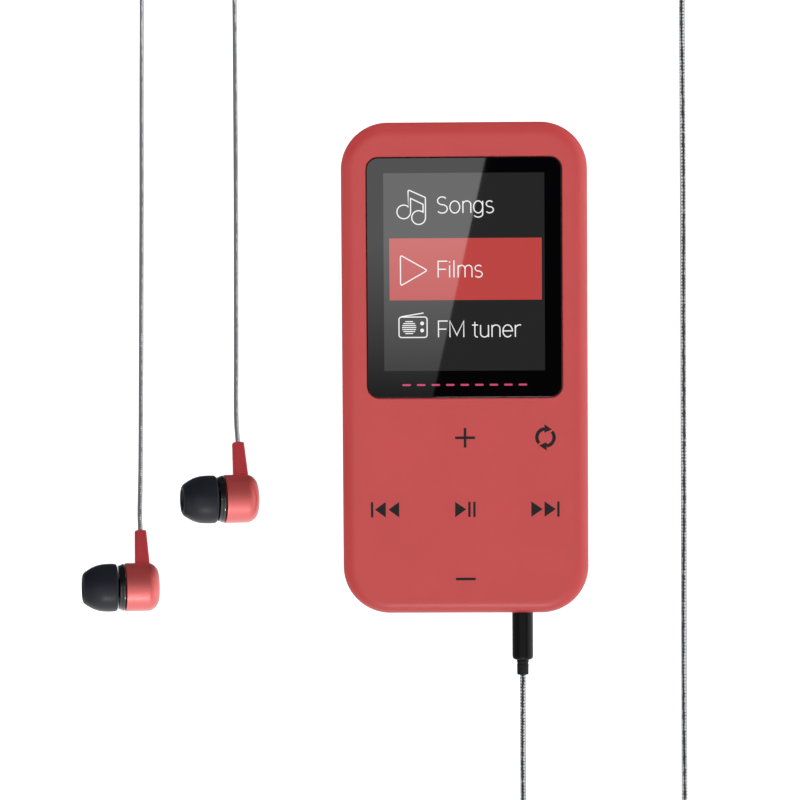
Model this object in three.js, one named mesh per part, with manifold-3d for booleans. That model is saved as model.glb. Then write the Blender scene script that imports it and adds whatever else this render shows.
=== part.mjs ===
// A pocket digital audio player lying on its back, with its in-ear earphones plugged in.
// Millimetres. +X is across the player, +Y runs to its top edge and +Z comes out of its screen.
// The origin is on the table, under the middle of the player.
import * as THREE from "three";
import { mergeVertices } from "three/addons/utils/BufferGeometryUtils.js";
import Module from "manifold-3d";

const wasm = await Module();
wasm.setup();

// ---- driving dimensions: the player ----
const body = { width: 43.4, length: 86.8, height: 9, corner: 8.3, edge: 2.4, wall: 1.4 };
const halfWidth = body.width / 2;
const halfLength = body.length / 2;
const clearance = 0.1; // between pieces that are assembled face to face
const film = 0.05; // thinnest gap, under chips and sheets

// Heights of the stacked pieces above the table.
const level = {
  floor: 1.2, battery: 1.5, parting: 2.4, board: 4.1, port: 4.5, boardTop: 4.9, lightTop: 6.1,
  ceiling: 7.2, ledge: 8.02, screwHoleEnd: 6.6, screwSeat: 1.3,
};
const pane = { width: 34.3, length: 42.3, thick: 0.8, corner: 2.1, y: 16.1 };
const view = { width: 29.4, length: 36.2, corner: 0.8, y: 17.2 }; // hole in the ledge, over the lit area
const lcd = { halfWidth: 16, low: -6.6, high: 36.2, inset: 0.4, bottomInset: 0.8 };
const boss = { x: 16.6, y: 38.3, radius: 1.75, padRadius: 2.3 };
const screw = { headRadius: 1.5, headThick: 0.9, radius: 0.8, length: 5, low: 0.35 };
const board = { halfWidth: 19.8, halfLength: 41.6, notch: 5.6 };
const jack = { x: 10, noseRadius: 2.5, halfWidth: 3.1, halfHeight: 2.1, front: -41.9, back: -28.2 };
const usb = { x: -10, width: 7.5, height: 2.6, corner: 0.7, depth: 5.4, wall: 0.3 };
const card = { y: -22, z: 3.5, mouth: 12.4, mouthHeight: 1.3, depth: 14, halfLength: 7 };
const power = { y: 22, z: 3.9, slot: 7.2, slotHeight: 2.3, knob: 4.4, knobHeight: 1.9, sunk: 0.25 };
const soundHole = { radius: 0.4, z: 5.5 };

// ---- driving dimensions: the plug, the cord and the earphones ----
const pin = { radius: 1.75, length: 14, joint: 0.04 }; // a standard 3.5 mm plug
const barrel = { radius: 1.94, length: 8.6, round: 0.7 };
const relief = { radius: 1.2, tipRadius: 1.05, length: 2.6 };
const mainCord = { radius: 0.575, sides: 8 };
const branchCord = { radius: 0.44, sides: 8 };
const splitter = {
  start: -7, end: -17.3, taper: 4, y: 84, z: 1.3, narrow: 1, wide: 1.9, half: 1.15, round: 0.4,
};
const coilLift = 0.75; // the tie's strap passes under each coil
const strap = { thick: 0.35, width: 2.4, room: 0.25, innerRoom: 0.6 };

// Each coil is wound outside in and back out again in two layers, so both its ends are outside.
const coils = {
  main: { cord: mainCord, mean: 6.86, halfSpread: 3.51, x: 20.37, y: -90.2, tieAngle: Math.PI / 4 },
  left: { cord: branchCord, mean: 5.04, halfSpread: 1.8, x: -50.24, y: 77.16, tieAngle: -Math.PI / 4 },
  right: { cord: branchCord, mean: 5.1, halfSpread: 2.03, x: -33.45, y: 74.2, tieAngle: -Math.PI / 4 },
};

// One earphone, measured along its own axis from the back of its housing.
const bud = {
  radius: 4.3, round: 2.1, wall: 0.7, housingEnd: 6, collarRadius: 3.9, collarEnd: 7.2,
  nozzleRadius: 1.5, nozzleBore: 1, nozzleEnd: 12.25, driver: [3.2, 5.2], mesh: 0.15,
  stemAt: 2.85, stemStart: 3.3, stemEnd: 10.2, stemRoot: 1.3, stemTip: 1.06, gap: 0.2,
};
const radians = Math.PI / 180;
const earphones = {
  left: { back: [-54.9, -38.87, 3.9], tilt: 11 * radians, roll: 17 * radians },
  right: { back: [-37.15, -23.15, 3.78], tilt: 14 * radians, roll: 17 * radians },
};

// ---- materials ----
const paint = (color, roughness, metalness = 0) =>
  new THREE.MeshStandardMaterial({ color, roughness, metalness });
const coral = paint(0xcb4f4e, 0.45);
const softCoral = paint(0xc94f4c, 0.6);
const blackGlass = paint(0x050505, 0.08);
const blackPlastic = paint(0x151517, 0.3);
const darkPlastic = paint(0x2a2a2c, 0.6);
const silicone = paint(0x1b1d20, 0.5);
const screenGlass = paint(0x262626, 0.2);
const whitePlastic = paint(0xe8e8e4, 0.5);
const boardGreen = paint(0x1e5a3a, 0.55);
const polyimide = paint(0xb8741f, 0.4);
const adhesive = paint(0x101010, 0.7);
const steel = paint(0xb9bcc0, 0.3, 1);
const gold = paint(0xd9b45a, 0.25, 1);
const foil = paint(0xa9acb0, 0.4, 0.6);
const chipBlack = paint(0x1c1c1e, 0.5);
const braid = paint(0x8b8b94, 0.8);

const model = new THREE.Group();

function add(name, geometry, material, parent = model) {
  const mesh = new THREE.Mesh(geometry, material);
  mesh.name = name;
  parent.add(mesh);
}

// ---- joining and cutting solids ----
function toSolid(geometry) {
  const bare = geometry.index ? geometry.toNonIndexed() : geometry.clone();
  bare.deleteAttribute("normal");
  bare.deleteAttribute("uv");
  const merged = mergeVertices(bare, 1e-4);
  return new wasm.Manifold(new wasm.Mesh({
    numProp: 3,
    vertProperties: merged.attributes.position.array,
    triVerts: new Uint32Array(merged.index.array),
  }));
}

function toGeometry(solid) {
  const mesh = solid.getMesh();
  const shared = new THREE.BufferGeometry();
  shared.setAttribute("position", new THREE.BufferAttribute(mesh.vertProperties, 3));
  shared.setIndex(new THREE.BufferAttribute(mesh.triVerts, 1));
  const flat = shared.toNonIndexed();
  flat.computeVertexNormals();
  return flat;
}

const join = (first, ...others) =>
  toGeometry(others.reduce((solid, other) => solid.add(toSolid(other)), toSolid(first)));
const cut = (first, ...tools) =>
  toGeometry(tools.reduce((solid, tool) => solid.subtract(toSolid(tool)), toSolid(first)));
const common = (first, second) => toGeometry(toSolid(first).intersect(toSolid(second)));

// ---- basic shapes ----
// A rectangle with round corners, its middle at (0, y).
function roundedRectangle(width, length, corner, y = 0) {
  const [w, l] = [width / 2 - corner, length / 2 - corner];
  const shape = new THREE.Shape();
  shape.absarc(w, y + l, corner, 0, Math.PI / 2);
  shape.absarc(-w, y + l, corner, Math.PI / 2, Math.PI);
  shape.absarc(-w, y - l, corner, Math.PI, Math.PI * 1.5);
  shape.absarc(w, y - l, corner, Math.PI * 1.5, Math.PI * 2);
  shape.closePath();
  return shape;
}

function polygon(points) {
  const shape = new THREE.Shape();
  shape.moveTo(...points[0]);
  points.slice(1).forEach((point) => shape.lineTo(...point));
  shape.closePath();
  return shape;
}

// A flat outline made solid between two heights.
function slab(shape, low, high, curveSegments = 4) {
  return new THREE.ExtrudeGeometry(shape, { depth: high - low, bevelEnabled: false, curveSegments })
    .translate(0, 0, low);
}

function box([x0, x1], [y0, y1], [z0, z1]) {
  return new THREE.BoxGeometry(x1 - x0, y1 - y0, z1 - z0)
    .translate((x0 + x1) / 2, (y0 + y1) / 2, (z0 + z1) / 2);
}

const about = (middle, half) => [middle - half, middle + half];

// A profile of [radius, height] pairs, turned about Z whichever way round it is listed.
function turned(profile, segments = 20) {
  const points = profile.map(([r, z]) => new THREE.Vector2(r, z));
  const onAxis = profile[0][0] === 0;
  if (THREE.ShapeUtils.area(points) < 0) points.reverse();
  if (!onAxis) points.push(points[0].clone());
  return new THREE.LatheGeometry(points, segments).rotateX(Math.PI / 2);
}

const rod = (radius, low, high, segments = 16) =>
  turned([[0, low], [radius, low], [radius, high], [0, high]], segments);

// Lays a shape that was made along Z along Y, from the given point.
const alongY = (geometry, x, y, z) => geometry.rotateX(-Math.PI / 2).translate(x, y, z);

function tube(points, { radius, sides }, steps) {
  const corners = Array.from({ length: sides }, (_, k) => (2 * Math.PI * k) / sides);
  const section = polygon(corners.map((angle) => [radius * Math.cos(angle), radius * Math.sin(angle)]));
  const through = points.map((point) => new THREE.Vector3(...point));
  const route = new THREE.CatmullRomCurve3(through, false, "centripetal");
  return new THREE.ExtrudeGeometry(section, { extrudePath: route, steps });
}

// ---- the player's case ----
const bossPlaces = [[1, 1], [-1, 1], [-1, -1], [1, -1]].map(([sx, sy]) => [sx * boss.x, sy * boss.y]);
const everywhere = [-50, 50];
const outside = -halfLength - 0.5; // just beyond the bottom edge, where its openings are cut from
const wallCut = 3;

const atBosses = (make) => bossPlaces.map(([x, y]) => make().translate(x, y, 0));

function wholeCase() {
  const { width, length, height, corner, edge } = body;
  return new THREE.ExtrudeGeometry(roundedRectangle(width, length, corner), {
    depth: height - 2 * edge, curveSegments: 4,
    bevelThickness: edge, bevelSize: edge, bevelOffset: -edge, bevelSegments: 4,
  }).translate(0, 0, edge);
}

function hollow(low, high) {
  const { width, length, corner, wall } = body;
  return slab(roundedRectangle(width - 2 * wall, length - 2 * wall, corner - wall), low, high);
}

const jackHole = () => alongY(rod(jack.noseRadius + clearance, 0, wallCut), jack.x, outside, level.port);

function frontShell() {
  const top = common(wholeCase(), box(everywhere, everywhere, [level.parting + clearance, body.height + 1]));
  const pocket = roundedRectangle(
    pane.width + 2 * clearance, pane.length + 2 * clearance, pane.corner + clearance, pane.y);
  const window = roundedRectangle(view.width, view.length, view.corner, view.y);
  const open = cut(
    top,
    hollow(1, level.ceiling),
    slab(pocket, level.ledge, body.height + 1),
    slab(window, level.ceiling - 1, body.height + 1, 1),
  );
  const bosses = atBosses(() => rod(boss.radius, level.parting + clearance, level.ceiling + clearance, 12));
  const usbHole = roundedRectangle(usb.width + 0.5, usb.height + 0.5, usb.corner + 0.2);
  return cut(
    join(open, ...bosses),
    ...atBosses(() => rod(screw.radius + clearance, level.floor, level.screwHoleEnd, 10)),
    jackHole(),
    alongY(slab(usbHole, 0, wallCut, 2), usb.x, outside, level.port),
    alongY(rod(soundHole.radius, 0, wallCut, 8), 0, outside, soundHole.z),
    box(about(-halfWidth, 2), about(card.y, card.mouth / 2), about(card.z, card.mouthHeight / 2)),
    box(about(halfWidth, 2), about(power.y, power.slot / 2), about(power.z, power.slotHeight / 2)),
  );
}

function rearCover() {
  const tray = common(wholeCase(), box(everywhere, everywhere, [-1, level.parting]));
  const open = cut(tray, hollow(level.floor, body.height));
  return cut(
    join(open, ...atBosses(() => rod(boss.padRadius, level.floor - clearance, level.parting))),
    ...atBosses(() => rod(screw.headRadius + clearance, -1, level.screwSeat)),
    ...atBosses(() => rod(screw.radius + clearance, 0, body.height, 10)),
    jackHole(),
  );
}

function addScrews() {
  const { headRadius, headThick, radius, length, low } = screw;
  const seat = low + headThick;
  const end = seat + length;
  const profile = [[0, low], [headRadius, low], [headRadius, seat], [radius, seat], [radius, end], [0, end]];
  atBosses(() => turned(profile, 12)).forEach((geometry, k) => add(`case_screw_${k + 1}`, geometry, steel));
}

// ---- the screen ----
function addScreen() {
  const paneLow = body.height - film - pane.thick;
  const glass = roundedRectangle(pane.width, pane.length, pane.corner, pane.y);
  add("screen_window", slab(glass, paneLow, paneLow + pane.thick), blackGlass);

  const border = roundedRectangle(pane.width - 0.4, pane.length - 0.4, pane.corner, pane.y);
  const inside = roundedRectangle(view.width + 0.2, view.length + 0.2, view.corner, view.y);
  const ring = cut(slab(border, level.ledge + 0.02, paneLow - 0.02, 2), slab(inside, 0, body.height, 1));
  add("window_adhesive", ring, adhesive);

  const { halfWidth: half, low, high, inset, bottomInset } = lcd;
  const top = level.boardTop + clearance;
  add("lcd_backlight", box(about(0, half), [low, high], [top, level.lightTop]), whitePlastic);
  const cellHeights = [level.lightTop + film, level.ceiling - clearance];
  add("lcd_panel", box(about(0, half - inset), [low + bottomInset, high - inset], cellHeights), screenGlass);

  // The flex cable leaves the panel's lower edge and bends down onto the board.
  // Its side is listed as [y, z].
  const [leaves, bends, ends, rise, thick] = [-6.7, -9.2, -12.6, 0.5, 0.15];
  const side = [[leaves, top + rise], [leaves, top + rise + thick], [bends, top + thick], [ends, top + thick],
    [ends, top], [bends, top]];
  add("lcd_flex", slab(polygon(side.map(([y, z]) => [-z, y])), -6, 6).rotateY(Math.PI / 2), polyimide);
}

// ---- the electronics ----
function addBoards() {
  const { halfWidth: w, halfLength: l, notch } = board;
  const outline = polygon([
    [w, notch - l], [w, l - notch], [w - notch, l - notch], [w - notch, l],
    [notch - w, l], [notch - w, l - notch], [-w, l - notch], [-w, notch - l],
    [notch - w, notch - l], [notch - w, -l], [w - notch, -l], [w - notch, notch - l],
  ]);
  const jackNotch = box(about(jack.x, jack.halfWidth + 0.2), [-l - 1, jack.back + 0.3], about(level.port, 1));
  const usbBack = usb.depth + 0.4 - halfLength;
  const usbNotch = box(about(usb.x, usb.width / 2 + 0.25), [-l - 1, usbBack], about(level.port, 1));
  add("main_board", cut(slab(outline, level.board, level.boardTop), jackNotch, usbNotch), boardGreen);
  const keyHeights = [level.ceiling - 0.5, level.ceiling - clearance];
  add("touch_key_board", box(about(0, 17.6), [-35.6, -7.4], keyHeights), boardGreen);

  add("battery", box([-15, 15], [-6, 36], [level.battery, level.board - clearance]), foil);
  add("battery_tape", box([-13, 13], [-4, 34], [level.floor + film, level.battery - film]), adhesive);

  const above = (height) => [level.boardTop + film, level.boardTop + film + height];
  const below = (height) => [level.board - film - height, level.board - film];
  add("processor", box([-1, 7], [-25, -17], below(0.9)), chipBlack);
  add("memory_chip", box([-10, 2], [-31.5, -14], above(1)), chipBlack);
  add("crystal", box([9, 12.2], [-12, -10.5], above(0.8)), steel);
  add("microphone", box([-1.9, 1.9], [-41.4, -38.4], above(1.1)), steel);
}

function addSockets() {
  const front = -halfLength + clearance;
  const heights = about(level.port, jack.halfHeight);
  const block = box(about(jack.x, jack.halfWidth), [jack.front, jack.back], heights);
  const nose = alongY(rod(jack.noseRadius, 0, 2), jack.x, front, level.port);
  const borePin = rod(pin.radius + clearance, 0, pin.length + 0.8);
  const bore = alongY(borePin, jack.x, -halfLength - 0.3, level.port);
  add("audio_jack", cut(join(block, nose), bore), darkPlastic);

  const { width, height, corner, depth, wall } = usb;
  const shell = slab(roundedRectangle(width, height, corner), 0, depth, 2);
  const inside = roundedRectangle(width - 2 * wall, height - 2 * wall, corner - wall / 2);
  const mouth = slab(inside, -1, depth - wall, 2);
  add("usb_socket", alongY(cut(shell, mouth), usb.x, front, level.port), steel);
  const tongueDepth = [front + 0.6, front + depth - wall - 0.2];
  add("usb_tongue", box(about(usb.x, 1.9), tongueDepth, [level.port + 0.1, level.port + 0.7]), blackPlastic);

  const mouthX = -halfWidth + body.wall + 0.15;
  const end = mouthX + card.depth;
  const reader = box([mouthX, end], about(card.y, card.halfLength), [card.z - 1, card.z + 0.55]);
  const slotHeights = [card.z - 0.45, card.z + 0.25];
  const slot = box([mouthX - 1, end - 1], about(card.y, card.halfLength - 1.2), slotHeights);
  add("card_reader", cut(reader, slot), steel);
}

function addPowerSwitch() {
  const inner = halfWidth - body.wall - 0.15;
  const frame = box([inner - 3.9, inner - 0.6], about(power.y, 3.5), [power.z - 1, level.board - film]);
  add("power_switch_body", frame, steel);

  // The knob rests at the lower end of its slot and slides up to the other end.
  const low = power.y - power.slot / 2 + 0.3;
  const outer = halfWidth - power.sunk;
  const cap = box([inner + 0.2, outer], [low, low + power.knob], about(power.z, power.knobHeight / 2));
  const stem = box([inner - 0.4, inner + 0.4], [low + 1.3, low + 3.1], [power.z - 0.6, power.z + 0.1]);
  add("power_switch_knob", join(cap, stem), coral);
}

// ---- the plug ----
// Lengths run into the player from the pin's shoulder, and are negative outside it.
function addPlug() {
  const shoulder = -halfLength - film;
  const piece = (name, profile, material) =>
    add(name, alongY(turned(profile), jack.x, shoulder, level.port), material);
  const ring = (low, high, radius) => [[0, low], [radius, low], [radius, high], [0, high]];
  const { radius, length, joint } = pin;
  const [sleeveEnd, ringStart, ringEnd, tipStart, waist] = [7.6, 8.1, 10.3, 10.8, 1.2];

  piece("plug_sleeve_contact", ring(joint, sleeveEnd, radius), gold);
  piece("plug_insulator_1", ring(sleeveEnd + joint, ringStart, radius - joint), blackPlastic);
  piece("plug_ring_contact", ring(ringStart + joint, ringEnd, radius), gold);
  piece("plug_insulator_2", ring(ringEnd + joint, tipStart, radius - joint), blackPlastic);
  const head = [[0, tipStart + joint], [waist + 0.25, tipStart + joint], [waist, 11.6], [radius - 0.05, 12.4],
    [waist, length - 0.4], [0.5, length], [0, length]];
  piece("plug_tip_contact", head, gold);

  const end = -barrel.length;
  const round = [[barrel.radius, end + barrel.round], [barrel.radius - 0.2, end + 0.2],
    [barrel.radius - barrel.round, end]];
  piece("plug_barrel", [[0, 0], [barrel.radius, 0], ...round, [0, end]], blackPlastic);
  const [top, tip] = [end - film, end - film - relief.length];
  const taper = [[0, top], [relief.radius, top], [relief.tipRadius, tip], [0, tip]];
  piece("plug_strain_relief", taper, blackPlastic);
}

// ---- the cord ----
function addCoil(side, { cord, mean, halfSpread, x, y, tieAngle }) {
  const halfWide = halfSpread + cord.radius + clearance;
  const [inner, outer] = [mean - halfWide, mean + halfWide];
  const [low, high] = [coilLift - film, coilLift + 4 * cord.radius + film];
  const ring = turned([[inner, low], [outer, low], [outer, high], [inner, high]], 28);
  add(`${side}_cord_coil`, ring.translate(x, y, 0), braid);

  const { thick, width, room, innerRoom } = strap;
  const [near, far, under, over] = [inner - innerRoom, outer + room, low - room, high + room];
  const outerBox = box([near - thick, far + thick], about(0, width / 2), [under - thick, over + thick]);
  const tie = cut(outerBox, box([near, far], about(0, width), [under, over]));
  add(`${side}_coil_tie`, tie.rotateZ(tieAngle).translate(x, y, 0), darkPlastic);
}

// Each route starts nearer the plug. The number is how many steps its tube has.
const routes = {
  main_cord_plug_end: [mainCord, 8, [[10, -54.75, 4.5], [10, -57.5, 4.4], [10, -61, 3.8], [10, -65, 2.5],
    [10, -69, 1.2], [10, -73, 0.65], [10, -77.5, 0.6], [10, -81, 0.66], [10, -84.3, 0.85]]],
  main_cord_run: [mainCord, 40, [[26.2, -100.57, 2.05], [29.5, -100.1, 1.2], [33, -98.4, 0.7],
    [36.3, -95, 0.6], [38.2, -90.5, 0.6], [38.85, -85, 0.6], [38.86, -78, 0.6], [38.84, -50, 0.6],
    [38.82, -20, 0.6], [38.8, 10, 0.6], [38.75, 40, 0.6], [38.7, 62, 0.6], [38.6, 70, 0.6], [36.9, 76.6, 0.6],
    [32.4, 81.6, 0.6], [26, 83.8, 0.6], [15, 84, 0.6], [5, 84, 0.6], [-2, 84, 0.85],
    [splitter.start + 0.35, splitter.y, splitter.z]]],
  left_cord_start: [branchCord, 5, [[splitter.end - 0.35, 84.75, 1.3], [-22, 84.6, 0.75], [-27, 84.3, 0.5],
    [-35, 84, 0.5], [-42, 84, 0.7], [-45.9, 84, 0.95]]],
  left_cord_run: [branchCord, 12, [[-57.08, 72.9, 1.5], [-57.08, 69.5, 0.7], [-57.08, 65.5, 0.47],
    [-57.3, 48, 0.47], [-57.5, 30, 0.47], [-57.75, 12, 0.47], [-58, -5.7, 0.47], [-58.2, -18, 0.47],
    [-58.35, -23.3, 0.52], [-58.4, -26.2, 0.8], [-58.28, -28.83, 1.43]]],
  right_cord_start: [branchCord, 3, [[splitter.end - 0.35, 83.25, 1.3], [-21, 82.6, 0.8], [-25, 81.6, 0.6],
    [-29, 81.33, 0.95]]],
  right_cord_run: [branchCord, 11, [[-40.58, 69.9, 1.5], [-40.58, 66.5, 0.75], [-40.58, 62.5, 0.47],
    [-40.62, 46, 0.47], [-40.67, 30, 0.47], [-40.78, 15, 0.47], [-40.9, 0, 0.47], [-40.97, -6, 0.5],
    [-40.9, -10.2, 0.83], [-40.66, -13.1, 1.49]]],
};

function addSplitter() {
  const { start, end, taper, y, z, narrow, wide, half, round } = splitter;
  const outline = polygon([[start, y - narrow], [start, y + narrow], [end + taper, y + wide], [end, y + wide],
    [end, y - wide], [end + taper, y - wide]]);
  const block = new THREE.ExtrudeGeometry(outline, {
    depth: 2 * (half - round),
    bevelThickness: round, bevelSize: round, bevelOffset: -round, bevelSegments: 2,
  });
  add("cord_splitter", block.translate(0, 0, z - half + round), blackPlastic);
}

// ---- the earphones ----
function addEarphone(side, { back, tilt, roll }) {
  const group = new THREE.Group();
  group.position.set(...back);
  group.rotation.set(0, tilt - Math.PI / 2, roll, "YXZ");
  model.add(group);
  const { radius, round, wall, housingEnd, gap } = bud;
  const { collarRadius, collarEnd, nozzleRadius, nozzleBore, nozzleEnd } = bud;

  const roundBack = [0, 1, 2, 3, 4].map((k) => (k / 4) * (Math.PI / 2))
    .map((angle) => [radius - round + round * Math.sin(angle), round - round * Math.cos(angle)]);
  const inner = radius - wall;
  const cup = [[0, 0], ...roundBack, [radius, housingEnd], [inner, housingEnd], [inner, round], [0, round]];
  add(`${side}_housing`, turned(cup, 24), coral, group);

  const length = bud.stemEnd - bud.stemStart;
  const cone = turned([[0, 0], [bud.stemRoot, 0], [bud.stemTip, length], [0, length]], 12);
  const stem = cut(alongY(cone, 0, bud.stemStart, bud.stemAt), rod(radius + gap, -1, housingEnd + 1, 24));
  add(`${side}_stem`, stem, softCoral, group);

  add(`${side}_driver`, rod(inner - gap, ...bud.driver), steel, group);
  const collarLow = housingEnd + gap;
  const collar = [[nozzleBore, collarLow], [radius - 0.1, collarLow], [radius - 0.15, 6.55], [collarRadius, collarEnd],
    [nozzleRadius, collarEnd], [nozzleRadius, nozzleEnd], [nozzleBore, nozzleEnd]];
  add(`${side}_nozzle`, turned(collar, 24), blackPlastic, group);
  const meshLow = nozzleEnd + gap;
  add(`${side}_nozzle_mesh`, rod(nozzleRadius - clearance, meshLow, meshLow + bud.mesh, 12), steel, group);

  // The soft tip: a sleeve that grips the nozzle, turned back over itself as a skirt.
  const bore = [[1.75, 8], [1.75, 13.05], [2.05, 13.5]];
  const skirt = [[2.3, 13.55], [3.1, 12.8], [3.75, 11.7], [4.12, 10.6], [4.25, 9.5], [4.27, 8.2], [4.05, 7.45]];
  const lining = [[3.7, 7.45], [3.87, 8.6], [3.7, 10.4], [3.2, 11.5], [2.7, 11.7], [2.6, 11.3], [2.6, 8]];
  add(`${side}_ear_tip`, turned([...bore, ...skirt, ...lining], 24), silicone, group);
}

// ---- assembly ----
add("front_shell", frontShell(), coral);
add("rear_cover", rearCover(), coral);
addScrews();
addScreen();
addBoards();
addSockets();
addPowerSwitch();
addPlug();
for (const [side, coil] of Object.entries(coils)) addCoil(side, coil);
for (const [name, [cord, steps, points]] of Object.entries(routes)) {
  add(name, tube(points, cord, steps), braid);
}
addSplitter();
for (const [side, pose] of Object.entries(earphones)) addEarphone(side, pose);

export default model;
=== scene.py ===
"""The looks of a pocket digital audio player and its earphones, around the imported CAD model.

Shapes are drawn in millimetres, as (points, faces), and put() turns them into objects in metres.
The cords, the camera and the studio are in metres, as the frame is.
"""
import math
from functools import partial

import bmesh
import bpy
import numpy as np
from mathutils import Matrix, Vector


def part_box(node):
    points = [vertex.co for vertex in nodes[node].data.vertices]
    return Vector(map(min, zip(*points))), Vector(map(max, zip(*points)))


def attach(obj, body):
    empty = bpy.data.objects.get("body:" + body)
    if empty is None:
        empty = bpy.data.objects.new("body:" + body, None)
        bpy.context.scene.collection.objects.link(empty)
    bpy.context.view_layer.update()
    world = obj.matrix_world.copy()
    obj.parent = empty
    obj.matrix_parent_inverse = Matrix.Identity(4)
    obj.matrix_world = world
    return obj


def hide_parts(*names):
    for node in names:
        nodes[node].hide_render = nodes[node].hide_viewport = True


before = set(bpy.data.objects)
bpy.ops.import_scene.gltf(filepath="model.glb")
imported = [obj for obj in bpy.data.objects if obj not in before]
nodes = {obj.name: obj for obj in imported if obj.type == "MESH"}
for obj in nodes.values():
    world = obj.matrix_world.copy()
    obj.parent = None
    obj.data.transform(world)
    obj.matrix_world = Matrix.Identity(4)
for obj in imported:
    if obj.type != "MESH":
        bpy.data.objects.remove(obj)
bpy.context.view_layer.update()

MM = 0.001
TAU = 2 * math.pi
scene = bpy.context.scene


def mm_box(node):
    """The lowest and highest corner of a CAD node, in millimetres."""
    low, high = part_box(node)
    return low / MM, high / MM


# ---- drawing shapes
def merged(*shapes):
    """Several shapes as one."""
    points, faces = [], []
    for more_points, more_faces in shapes:
        faces += [[corner + len(points) for corner in face] for face in more_faces]
        points += list(more_points)
    return points, faces


def placed(shape, x=0.0, y=0.0, z=0.0, degrees=0.0, axis="Z"):
    """A shape turned about an axis and then shifted."""
    matrix = Matrix.Translation((x, y, z)) @ Matrix.Rotation(math.radians(degrees), 4, axis)
    points, faces = shape
    return [tuple(matrix @ Vector(point)) for point in points], faces


def along_y(shape, x, y, z):
    """A shape drawn along Z, laid along Y from the given point."""
    return placed(shape, x, y, z, -90, "X")


def loft(loops, closed=False):
    """Joins loops of the same number of points. Its ends are capped, or joined if it is closed."""
    count = len(loops[0])
    points = [point for loop in loops for point in loop]
    faces = []
    rows = len(loops) if closed else len(loops) - 1
    for row in range(rows):
        low, high = row * count, (row + 1) % len(loops) * count
        for k in range(count):
            after = (k + 1) % count
            faces.append([low + k, low + after, high + after, high + k])
    if not closed:
        faces.append(list(range(count))[::-1])
        faces.append([len(points) - count + k for k in range(count)])
    return points, faces


def round_rectangle(width, length, corner, z=0.0, x=0.0, y=0.0, steps=12):
    """A loop round a rectangle with round corners, at one height."""
    loop = []
    for quarter, (sx, sy) in enumerate([(1, 1), (-1, 1), (-1, -1), (1, -1)]):
        for k in range(steps + 1):
            angle = (quarter + k / steps) * math.pi / 2
            loop.append((x + sx * (width / 2 - corner) + corner * math.cos(angle),
                         y + sy * (length / 2 - corner) + corner * math.sin(angle), z))
    return loop


def stack(width, length, corner, sizes, x=0.0, y=0.0, steps=8):
    """A pile of rectangles with round corners. sizes are (how far in its sides are, height) pairs."""
    return loft([round_rectangle(width - 2 * inset, length - 2 * inset, max(corner - inset, 0.02),
                                 z, x, y, steps) for inset, z in sizes])


def tablet(width, length, corner, low, high, edge=0.0, x=0.0, y=0.0, steps=8, arcs=3):
    """A round-cornered block whose top and bottom edges are rounded."""
    sizes = [(0, low), (0, high)]
    if edge:
        angles = [k / arcs * math.pi / 2 for k in range(arcs + 1)]
        sizes = [(edge * (1 - math.sin(a)), low + edge * (1 - math.cos(a))) for a in angles]
        sizes += [(inset, low + high - z) for inset, z in reversed(sizes)]
    return stack(width, length, corner, sizes, x, y, steps)


def turned(profile, segments=48):
    """A profile of (radius, height) pairs turned about Z. It starts and ends on the axis, or closes."""
    on_axis = profile[0][0] == 0
    rings = profile[1:-1] if on_axis else profile
    loops = [circle(radius, z, segments) for radius, z in rings]
    if not on_axis:
        return loft(loops, closed=True)
    points, faces = loft(loops)
    faces = faces[:-2]
    for ring, height, start in ((0, profile[0][1], 0), (1, profile[-1][1], len(points) - segments)):
        centre = len(points)
        points = points + [(0.0, 0.0, height)]
        for k in range(segments):
            face = [start + k, start + (k + 1) % segments, centre]
            faces.append(face if ring else face[::-1])
    return points, faces


def circle(radius, z, segments):
    """A loop round Z."""
    angles = [TAU * k / segments for k in range(segments)]
    return [(radius * math.cos(a), radius * math.sin(a), z) for a in angles]


def arc(x, y, rx, ry, start, end, steps=14):
    """Points on part of an ellipse, from one angle to another in degrees."""
    angles = [math.radians(start + (end - start) * k / steps) for k in range(steps + 1)]
    return [(x + rx * math.cos(a), y + ry * math.sin(a)) for a in angles]


def rounded(profile, radius, steps=4):
    """A profile whose inner corners are rounded, as far as their sides allow."""
    out = [profile[0]]
    for before, corner, after in zip(profile, profile[1:], profile[2:]):
        before, corner, after = Vector(before), Vector(corner), Vector(after)
        reach = min(radius, (before - corner).length * 0.45, (after - corner).length * 0.45)
        first = corner + (before - corner).normalized() * reach
        last = corner + (after - corner).normalized() * reach
        for k in range(steps + 1):
            t = k / steps
            out.append(tuple(first * (1 - t) ** 2 + corner * 2 * t * (1 - t) + last * t * t))
    return out + [profile[-1]]


def prism(outline, low, high):
    return loft([[(x, y, low) for x, y in outline], [(x, y, high) for x, y in outline]])


def ribbon(line, width, low, high, closed=False):
    """A flat stroke of one width along a line of (x, y) points, back to its start if it is closed."""
    line = [Vector(point) for point in line]
    count = len(line)
    loops = []
    for k, point in enumerate(line):
        before = line[k - 1] if k or closed else point
        after = line[(k + 1) % count] if k < count - 1 or closed else point
        ways = [way.normalized() for way in (point - before, after - point) if way.length > 1e-6]
        middle = (ways[0] + ways[-1]).normalized()
        normal = Vector((-middle.y, middle.x))
        reach = width / 2 / max(0.5, middle.dot(ways[0]))  # a sharp corner isn't drawn out to its point
        left = point + normal * reach
        right = point - normal * reach
        loops.append([(*right, low), (*left, low), (*left, high), (*right, high)])
    return loft(loops, closed=closed)


def flat(loop):
    """The (x, y) points of a loop."""
    return [(x, y) for x, y, _ in loop]


# ---- making objects
SEAM = 0.002  # corners nearer than this are one corner, after a cut


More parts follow.
